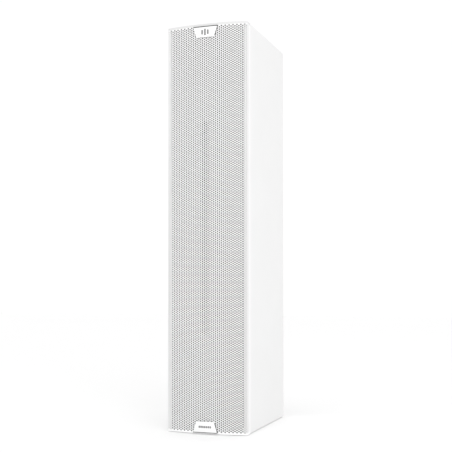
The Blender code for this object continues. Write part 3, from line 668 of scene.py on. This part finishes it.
def build_badges():
    """Keystone plates on a dark edging that shows at the wide end and the sides, with generic marks. The dark
    edging and the dark body under each plate are painted shadow: the shadow gap round the badge and its
    shaded side walls.
    """
    reach = GRILLE_FRONT - low("badge_top").y
    base = 0.0022  # thickness of the dark edging, painted shadow under the plate
    side_edge = 0.0013
    foot = 0.0030
    wall = reach - 0.0007  # the dark body under the plate's face, painted shade on the badge's side walls
    for node, wide_end, end_edge in (("badge_top", 1, 0.0022), ("badge_bottom", -1, 0.0016)):
        centre_z = middle(node).z
        wide = high(node).x - low(node).x
        tall = high(node).z - low(node).z
        narrow = wide * 0.75
        upright = wide_end > 0
        outer = keystone(wide, narrow + 0.0010, tall - foot, 0.0016, upright)
        inner = keystone(wide - 2 * side_edge, narrow - 2 * side_edge, tall - end_edge, 0.0012, upright)
        end_bar = [
            (x, y + wide_end * (tall - end_edge) / 2)
            for x, y in keystone(wide - side_edge, wide - 2 * side_edge, end_edge, 0.0004, upright)
        ]
        foot_outline = [
            (x, y - wide_end * (tall - foot) / 2)
            for x, y in keystone(narrow * 1.05, narrow - 2 * side_edge, foot, 0.0008, upright)
        ]
        plate_z = centre_z - wide_end * end_edge / 2
        # The dark pieces are painted shadow round the wide end and sides, and painted shade on the side
        # walls.
        painted_shadow_edging = merge(
            slab(outer, 0.0002, 0.0006, centre_z + wide_end * foot / 2, 0.0001),
            slab(end_bar, 0.0006, base, centre_z),
            slab(inner, 0.00062, wall, plate_z, 0.0001),
        )
        plate = merge(
            slab(inner, wall + 0.00002, reach - 0.0002, plate_z),
            slab(foot_outline, 0.0002, wall, centre_z, 0.0001),
        )
        for suffix, shape, surface in (("painted_shadow_edging", painted_shadow_edging, BADGE_PAINTED_SHADOW), ("plate", plate, BADGE)):
            name = f"{node}_{suffix}"
            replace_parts(add(mesh_of(shape, name), name, surface), node)
        if upright:
            bars = [0.0120, 0.0170, 0.0120]
            bar, step = 0.0044, 0.0078
        else:
            bars = [0.0054] * 7
            bar, step = 0.0040, 0.0050
        marks = []
        for i, height in enumerate(bars):
            x = (i - (len(bars) - 1) / 2) * step
            outline = [(px + x, py) for px, py in rounded_rectangle(bar / 2, height / 2, bar * 0.3)]
            marks.append(slab(outline, reach - 0.00022, reach - 0.00005, plate_z, 0.00005))
        add(mesh_of(merge(*marks), node + "_mark"), node + "_mark", MARK)


# ---------------------------------------------------------------- knobs and buttons
def ribbed(radius, depth, ribs, steps_per_rib=6):
    """A round outline with shallow grip ribs."""
    points = []
    total = ribs * steps_per_rib
    for i in range(total):
        turn = 2 * math.pi * i / total
        ripple = depth * (0.5 + 0.5 * math.cos(ribs * turn)) ** 0.6
        reach = radius - depth + ripple
        points.append((reach * math.cos(turn), reach * math.sin(turn)))
    return points


def build_knob(name, node, body, reach, radius, surface, pointer):
    """A ribbed knob with a rounded crown, and a white pointer line inlaid in it."""
    centre = middle(node)
    at = (centre.x, PLATE_FACE, centre.z)
    ribs, per_rib = 18, 6
    steps = ribs * per_rib
    grip = ribbed(radius, 0.0006, ribs, per_rib)
    skirt = circle(radius, steps)
    sections = [
        (circle(radius * 0.55, steps), 0.0010),
        (skirt, 0.0010),
        (skirt, 0.0022),
        (grip, 0.0027),
        (grip, reach - 0.0012),
        (ribbed(radius * 0.97, 0.0004, ribs, per_rib), reach - 0.0006),
        (circle(radius * 0.90, steps), reach - 0.0001),
        (circle(radius * 0.80, steps), reach - 0.0004),
    ]
    knob = add(mesh_of(loft(sections, at, REARWARD), name, 40), name, surface, body)
    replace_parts(knob, node)
    if pointer:
        line = rounded_rectangle(0.0006, radius * 0.30, 0.0005)
        line = [(x, y - radius * 0.52) for x, y in line]
        shape = loft([(line, reach - 0.0006), (line, reach - 0.0002)], at, REARWARD)
        add(mesh_of(shape, name + "_pointer"), name + "_pointer", WHITE_PRINT, body)


def build_controls():
    build_knob("gain_grip", "gain_knob", "gain_knob", 0.0150, 0.0095, BLACK_PLASTIC, True)
    build_knob("dsp_grip", "dsp_knob", "dsp_knob", 0.0130, 0.0079, GREY_PLASTIC, False)
    at = middle("mute_button")
    profile = [
        (0.0044, -0.0070), (0.0045, -0.0066), (0.0045, 0.0022),
        (0.0042, 0.0027), (0.0036, 0.0030), (0.0020, 0.0029),
    ]
    cap = turned(profile, (at.x, PLATE_FACE, at.z), REARWARD)
    button = add(mesh_of(cap, "mute_cap"), "mute_cap", RUBBER, "mute_button")
    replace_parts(button, "mute_button")


# ---------------------------------------------------------------- sockets
def socket_flange(half_x, half_z, opening, at):
    """A rectangular flange with a round opening and softened corners."""
    steps = 48
    outer = squared(half_x, half_z, 0.0022, steps)
    return ring_plate(outer, circle(opening, steps), 0.0, 0.0020, at, REARWARD, 0.0003)


def squared(half_x, half_y, radius, steps):
    """A rounded rectangle whose points lie at the same angles as a circle's."""
    points = []
    for i in range(steps):
        turn = 2 * math.pi * i / steps
        ux, uy = math.cos(turn), math.sin(turn)
        reach = min(half_x / max(abs(ux), 1e-9), half_y / max(abs(uy), 1e-9))
        x, y = ux * reach, uy * reach
        inner_x, inner_y = half_x - radius, half_y - radius
        if abs(x) > inner_x and abs(y) > inner_y:
            corner = Vector((math.copysign(inner_x, x), math.copysign(inner_y, y)))
            offset = Vector((x, y)) - corner
            x, y = corner + offset.normalized() * radius
        points.append((x, y))
    return points


def pin_places():
    """Where the three contacts stand round the middle of a socket."""
    radius = 0.0046
    turns = [math.radians(angle) for angle in (30, 150, 270)]
    return [(radius * math.cos(turn), radius * math.sin(turn)) for turn in turns]


def build_xlr_link():
    """Male socket: a deep cup with three rounded pins."""
    node = "xlr_link"
    centre = middle(node)
    seat = high(node).y - 0.0020
    at = (centre.x, seat, centre.z)
    steps = 48
    flange = socket_flange(0.0130, 0.0155, 0.0094, at)
    cup = turned(
        [
            (0.0020, -0.0129), (0.0094, -0.0129), (0.0094, 0.0004), (0.0097, 0.0004), (0.0116, 0.0),
            (0.0116, -0.0265), (0.0040, -0.0268),
        ],
        at,
        REARWARD,
        steps,
    )
    body = add(mesh_of(merge(flange, cup), "link_shell"), "link_shell", BLACK_PLASTIC)
    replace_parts(body, node)
    pins = []
    for x, z in pin_places():
        pin = [(0.0006, -0.0020), (0.0010, -0.0023), (0.0012, -0.0029), (0.0012, -0.0128), (0.0006, -0.0129)]
        pins.append(turned(pin, (centre.x + x, seat, centre.z + z), REARWARD, 20))
    add(mesh_of(merge(*pins), "link_pins"), "link_pins", ALUMINIUM)
    places = [
        (centre.x - 0.0100, seat + 0.0020, centre.z + 0.0125),
        (centre.x + 0.0100, seat + 0.0020, centre.z - 0.0125),
    ]
    screws("link_screws", places, REARWARD, radius=0.0018, height=0.0009)


def build_xlr_input_trim():
    """The CAD socket stays, for its latch slot; these are its screws and its contact liners."""
    centre = middle("xlr_input")
    face = high("xlr_input").y
    liners = []
    for x, z in pin_places():
        at = (centre.x + x, face - 0.0005, centre.z + z)
        outer, inner = circle(0.00135, 20), circle(0.0009, 20)
        liners.append(ring_plate(outer, inner, -0.0080, 0.0, at, REARWARD))
    add(mesh_of(merge(*liners), "input_contacts"), "input_contacts", COPPER)
    places = [(centre.x - 0.0105, face, centre.z - 0.0125), (centre.x + 0.0105, face, centre.z - 0.0125)]
    screws("input_screws", places, REARWARD, radius=0.0018, height=0.0009)


# ---------------------------------------------------------------- rear panel
def build_panel_trim():
    """Screws, status lights and printed marks of the rear panel."""
    plate_low, plate_high = low("amp_plate"), high("amp_plate")
    inset = 0.006
    places = []
    for x in (plate_low.x + inset, plate_high.x - inset):
        for step in range(5):
            z = plate_low.z + inset + (plate_high.z - plate_low.z - 2 * inset) * step / 4
            places.append((x, PLATE_FACE, z))
    screws("panel_screws", places, REARWARD)
    inlet_low, inlet_high = low("mains_inlet"), high("mains_inlet")
    screws(
        "inlet_screws",
        [(0, PLATE_FACE, inlet_low.z - 0.006), (0, PLATE_FACE, inlet_high.z + 0.006)],
        REARWARD,
        radius=0.0026,
    )
    dome = [(0.0014, 0.0), (0.0014, 0.0006), (0.0011, 0.0011), (0.0005, 0.0013)]
    lenses, bezels = [], []
    for x in (-0.012, 0.0, 0.012):
        at = (x, PLATE_FACE, CONTROL_Z + 0.026)
        lenses.append(turned(dome, at, REARWARD, 24))
        bezels.append(ring_plate(circle(0.0024, 32), circle(0.0015, 32), 0.0, 0.0006, at, REARWARD, 0.0002))
    add(mesh_of(merge(*lenses), "status_lenses"), "status_lenses", STATUS_LIGHT)
    add(mesh_of(merge(*bezels), "status_bezels"), "status_bezels", BLACK_PLASTIC)
    marks = []
    gain = middle("gain_knob")
    for step in range(11):
        turn = math.radians(-240 + 30 * step)
        tick = rounded_rectangle(0.0009 if step % 5 else 0.0014, 0.0002, 0.00015, 3)
        shape = loft([(tick, 0.0), (tick, 0.00012)])
        move = (
            Matrix.Translation((gain.x, PLATE_FACE, gain.z))
            @ REARWARD
            @ Matrix.Rotation(turn, 4, "Z")
            @ Matrix.Translation((0.0125, 0, 0))
        )
        bmesh.ops.transform(shape, matrix=move, verts=shape.verts)
        marks.append(shape)
    line, outer_x, corner = 0.0004, 0.060, 0.004
    for centre_z, half_z in ((CONTROL_Z + 0.008, 0.033), (middle("xlr_input").z - 0.001, 0.023)):
        outer = rounded_rectangle(outer_x, half_z, corner)
        inner = rounded_rectangle(outer_x - line, half_z - line, corner - line)
        marks.append(ring_plate(outer, inner, 0.0, 0.00012, (0, PLATE_FACE, centre_z), REARWARD))
    add(mesh_of(merge(*marks), "panel_print"), "panel_print", WHITE_PRINT)


# ---------------------------------------------------------------- hardware
def build_handle():
    """A moulded cup with round corners, and a grip bar that swells a little in the middle."""
    cup_low, cup_high = low("handle_cup"), high("handle_cup")
    centre = (cup_low + cup_high) / 2
    half_x, half_z = (cup_high.x - cup_low.x) / 2, (cup_high.z - cup_low.z) / 2
    flange, skin = 0.010, 0.0025
    deep = cup_high.y - cup_low.y
    thick = 0.003
    corner = 0.014

    def ring(inset, depth, radius):
        return rounded_rectangle(half_x - inset, half_z - inset, radius), -depth

    sections = [
        ring(flange + skin + 0.006, deep - skin, corner - 0.004),
        ring(flange + skin + 0.002, deep - skin - 0.001, corner),
        ring(flange + skin, deep - skin - 0.005, corner),
        ring(flange + skin, 0.0030, corner),
        ring(flange + skin - 0.0010, 0.0008, corner + 0.001),
        ring(flange + skin - 0.0030, 0.0, corner + 0.002),
        ring(0.0016, 0.0, 0.008),
        ring(0.0, 0.0014, 0.009),
        ring(0.0, thick - 0.0001, 0.009),
        ring(flange, thick, corner),
        ring(flange, deep, corner),
    ]
    cup = loft(sections, (0, cup_high.y, centre.z), REARWARD)
    shell = add(mesh_of(cup, "handle_shell", 40), "handle_shell", BLACK_PLASTIC)
    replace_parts(shell, "handle_cup")
    bar_low, bar_high = low("handle_bar"), high("handle_bar")
    radius = (bar_high.x - bar_low.x) / 2
    half = (bar_high.z - bar_low.z) / 2
    profile = []
    steps = 24
    for i in range(steps + 1):
        along = -1 + 2 * i / steps
        swell = radius * (0.86 + 0.14 * math.cos(along * math.pi / 2) ** 0.5)
        profile.append((swell, along * half))
    bar = turned(profile, (bar_low + bar_high) / 2, UPWARD)
    grip = add(mesh_of(bar, "handle_grip"), "handle_grip", RUBBER)
    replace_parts(grip, "handle_bar")
    inset = flange / 2
    places = [
        (x, cup_high.y, z)
        for x in (cup_low.x + inset, cup_high.x - inset)
        for z in (cup_low.z + inset, centre.z, cup_high.z - inset)
    ]
    screws("handle_screws", places, REARWARD, radius=0.0027)


def build_pole_socket():
    """Turned steel cup with a chamfered mouth and a thin flange."""
    cup_low, cup_high = low("pole_socket"), high("pole_socket")
    centre = (cup_low + cup_high) / 2
    outer, inner, flange = 0.0205, 0.0180, 0.0300
    mouth, top = cup_low.z, cup_high.z
    profile = [
        (0.004, top), (outer - 0.001, top), (outer, top - 0.001), (outer, mouth + 0.0009),
        (flange, mouth + 0.0009), (flange, mouth + 0.0003), (flange - 0.0003, mouth),
        (inner + 0.0012, mouth), (inner, mouth + 0.0012),
        (inner, top - 0.003), (0.004, top - 0.003),
    ]
    cup = turned(profile, (centre.x, centre.y, 0), UPWARD, 64)
    shell = add(mesh_of(cup, "pole_cup"), "pole_cup", BLACK_METAL)
    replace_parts(shell, "pole_socket")


def build_feet():
    """Rubber feet with a tapered tread and a recess for their fixing screw."""
    for row in ("front", "rear"):
        for side in ("left", "right"):
            node = f"foot_{row}_{side}"
            foot_low, foot_high = low(node), high(node)
            centre = (foot_low + foot_high) / 2
            radius = (foot_high.x - foot_low.x) / 2
            tall = foot_high.z - foot_low.z
            profile = [
                (0.002, tall), (radius, tall), (radius, 0.0006),
                (radius * 0.98, 0.0002), (radius * 0.96, 0.0),
                (0.0048, 0.0), (0.0044, 0.0003), (0.0044, 0.0008), (0.002, 0.0008),
            ]
            foot = turned(profile, (centre.x, centre.y, foot_low.z), UPWARD)
            name = f"rubber_{node}"
            piece = add(mesh_of(foot, name), name, RUBBER)
            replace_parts(piece, node)


def build_flying_screws():
    """Countersunk blanking screws with hexagon sockets."""
    for node, facing, axis in (("flying_screw_top", UPWARD, 2), ("flying_screw_rear", REARWARD, 1)):
        top = high(node)
        at = middle(node)
        at[axis] = top[axis]
        sections = [
            (hexagon(0.0050), -0.0020), (hexagon(0.0050), 0.0), (circle(0.0070), 0.0),
            (circle(0.0080), -0.0004), (circle(0.0085), -0.0012), (circle(0.0085), -0.0026),
            (circle(0.0040), -0.0026), (circle(0.0040), -0.0156),
        ]
        name = node + "_head"
        piece = add(mesh_of(loft(sections, at, facing), name), name, BLACK_METAL)
        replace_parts(piece, node)


# ---------------------------------------------------------------- CAD parts that keep their shape
def finish_cad_nodes():
    finish_node(PAINT, "cabinet")
    finish_node(FOAM, "grille_foam")
    finish_node(BLACK_PAINT, "front_baffle")
    finish_node(PLYWOOD, "brace_upper", "brace_lower")
    finish_node(BLACK_PLASTIC, "waveguide", "port_upper", "port_lower")
    finish_node(BLACK_PLASTIC, "hf_rear_cover", "xlr_input", "mains_inlet")
    finish_node(GREY_PLASTIC, "power_rocker")
    finish_node(BLACK_METAL, "amp_plate")
    finish_node(HEAT_SINK, "heat_sink")
    finish_node(ALUMINIUM, "throat_adapter")
    finish_node(STEEL, "amp_chassis", "encoder_shaft", "xlr_latch")
    finish_node(FERRITE, "hf_driver")
    finish_node(BOARD, "amp_board")
    finish_node(CABLE, "smps_transformer", "filter_capacitor")
    finish_node(COPPER, "output_inductor")
    for number in range(1, 5):
        finish_node(BLACK_METAL, f"basket_{number}")
        finish_node(FERRITE, f"magnet_{number}")
        finish_node(PAPER, f"cone_{number}")
        finish_node(RUBBER, f"surround_{number}")
        finish_node(SPIDER, f"spider_{number}")


# ---------------------------------------------------------------- studio
def area_light(name, at, towards, size, power):
    light = bpy.data.lights.new(name, "AREA")
    light.shape = "RECTANGLE"
    light.size, light.size_y = size
    light.energy = power
    lamp = bpy.data.objects.new(name, light)
    bpy.context.scene.collection.objects.link(lamp)
    lamp.location = at
    lamp.rotation_euler = (Vector(towards) - Vector(at)).to_track_quat("-Z", "Y").to_euler()


def build_studio():
    """A white floor that glows a little, so that it meets the white world without a line."""
    floor_white, floor_glow, world_strength, key_power = 0.88, 0.09, 1.02, 24
    shape = bmesh.new()
    bmesh.ops.create_grid(shape, x_segments=1, y_segments=1, size=8.0)
    mesh = bpy.data.meshes.new("studio_floor")
    shape.to_mesh(mesh)
    shape.free()
    floor = bpy.data.objects.new("studio_floor", mesh)
    bpy.context.scene.collection.objects.link(floor)
    surface, _, shader = new_material("studio_floor", (floor_white, floor_white, floor_white), 0.9)
    shader.inputs["Emission Color"].default_value = (1, 1, 1, 1)
    shader.inputs["Emission Strength"].default_value = floor_glow
    mesh.materials.append(surface)
    world = bpy.data.worlds.new("studio")
    world.use_nodes = True
    background = world.node_tree.nodes["Background"]
    background.inputs["Color"].default_value = (1, 1, 1, 1)
    background.inputs["Strength"].default_value = world_strength
    bpy.context.scene.world = world
    bpy.context.scene.view_settings.view_transform = "Standard"
    area_light("key", (1.9, -2.6, 1.3), (0, 0, 0.55), (1.6, 1.6), key_power)


def build_camera():
    """A camera to the right of the front, tilted up a little, with the column low in its frame."""
    azimuth = math.radians(19.17)
    tilt = math.radians(91.1)  # 90 is level
    distance, aside, height = 2.4684, 0.004, 0.3877
    forward = Vector((-math.sin(azimuth), math.cos(azimuth), 0))
    rightward = Vector((math.cos(azimuth), math.sin(azimuth), 0))
    place = -forward * distance - rightward * aside
    data = bpy.data.cameras.new("camera")
    data.sensor_width = 36
    data.lens = 71.2
    data.shift_x = -0.0005
    data.shift_y = 0.0889
    camera = bpy.data.objects.new("camera", data)
    bpy.context.scene.collection.objects.link(camera)
    camera.location = (place.x, place.y, height)
    camera.rotation_euler = (tilt, 0, azimuth)
    bpy.context.scene.camera = camera


build_grille()
build_badges()
build_controls()
build_xlr_link()
build_xlr_input_trim()
build_panel_trim()
build_handle()
build_pole_socket()
build_feet()
build_flying_screws()
finish_cad_nodes()
build_studio()
build_camera()
